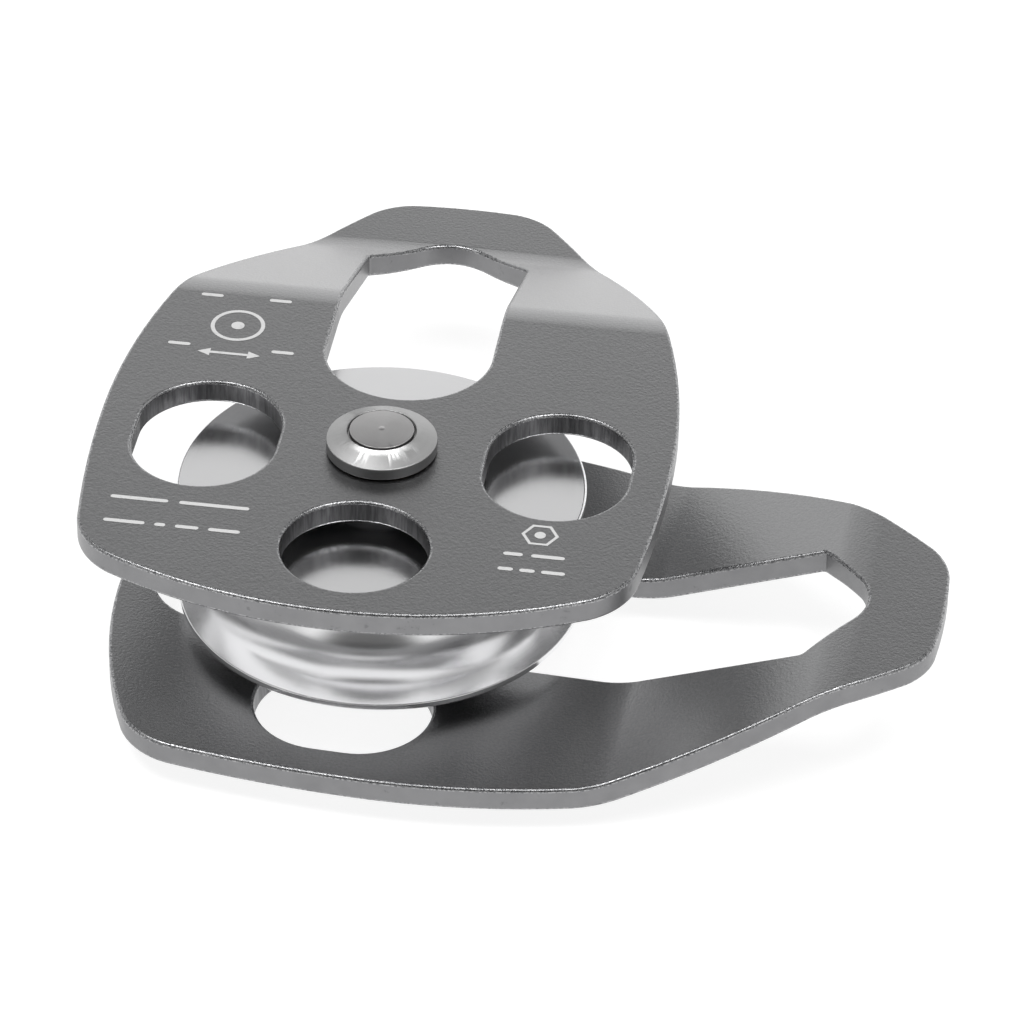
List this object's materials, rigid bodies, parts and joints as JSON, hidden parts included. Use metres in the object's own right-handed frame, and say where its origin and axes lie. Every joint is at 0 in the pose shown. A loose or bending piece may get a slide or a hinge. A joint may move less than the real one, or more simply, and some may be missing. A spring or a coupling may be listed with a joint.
{
  "type": "rope pulley",
  "caption": "Swing-plate rope pulley: a grooved aluminium sheave on sealed ball bearings between two bent side plates that turn about the axle.",
  "frame": {"origin": "middle of the axle, halfway between the two side plates", "axes": "+Z along the axle towards the upper plate, +Y towards the upper plate's head, +X to the right of it, where the lower plate's head points at rest"},
  "size_m": [0.1259, 0.1263, 0.0384],
  "materials": {
    "plate_metal": "grey anodised over a fine blasted grain, satin",
    "sheave_aluminium": "turned and polished",
    "axle_steel": "turned",
    "cap_steel": "turned, satin",
    "bronze": "plain",
    "spacer_steel": "turned",
    "bearing_steel": "ground",
    "ball_steel": "polished",
    "seal_rubber": "matte",
    "print_white": "thin printed ink, matte"
  },
  "bodies": {
    "axle": {"axle_pin": "axle_steel", "upper_collar": "cap_steel", "lower_collar": "cap_steel", "upper_bush": "bronze", "lower_bush": "bronze", "upper_spacer": "spacer_steel", "lower_spacer": "spacer_steel", "bearing_spacer": "spacer_steel", "upper_bearing_inner_ring": "bearing_steel", "lower_bearing_inner_ring": "bearing_steel"},
    "upper_plate": {"upper_plate": "plate_metal"},
    "lower_plate": {"lower_plate": "plate_metal"},
    "sheave": {"sheave": "sheave_aluminium", "upper_bearing_outer_ring": "bearing_steel", "upper_bearing_outside_seal": "seal_rubber", "upper_bearing_inside_seal": "seal_rubber", "lower_bearing_outer_ring": "bearing_steel", "lower_bearing_outside_seal": "seal_rubber", "lower_bearing_inside_seal": "seal_rubber"},
    "upper_balls": {"upper_bearing_balls": "ball_steel", "upper_bearing_cage": "bronze"},
    "lower_balls": {"lower_bearing_balls": "ball_steel", "lower_bearing_cage": "bronze"}
  },
  "joints": [
    {"name": "upper_plate_swing", "type": "hinge", "parent": "axle", "child": "upper_plate", "pos_m": [0, 0, 0], "axis": [0, 0, 1], "continuous": true},
    {"name": "lower_plate_swing", "type": "hinge", "parent": "axle", "child": "lower_plate", "pos_m": [0, 0, 0], "axis": [0, 0, 1], "continuous": true},
    {"name": "sheave_spin", "type": "hinge", "parent": "axle", "child": "sheave", "pos_m": [0, 0, 0], "axis": [0, 0, 1], "continuous": true},
    {"name": "upper_balls_orbit", "type": "hinge", "parent": "axle", "child": "upper_balls", "pos_m": [0, 0, 0], "axis": [0, 0, 1], "continuous": true},
    {"name": "lower_balls_orbit", "type": "hinge", "parent": "axle", "child": "lower_balls", "pos_m": [0, 0, 0], "axis": [0, 0, 1], "continuous": true}
  ],
  "couplings": [
    {"joint": "upper_balls_orbit", "follows": "sheave_spin", "ratio": 0.5828},
    {"joint": "lower_balls_orbit", "follows": "sheave_spin", "ratio": 0.5828}
  ]
}
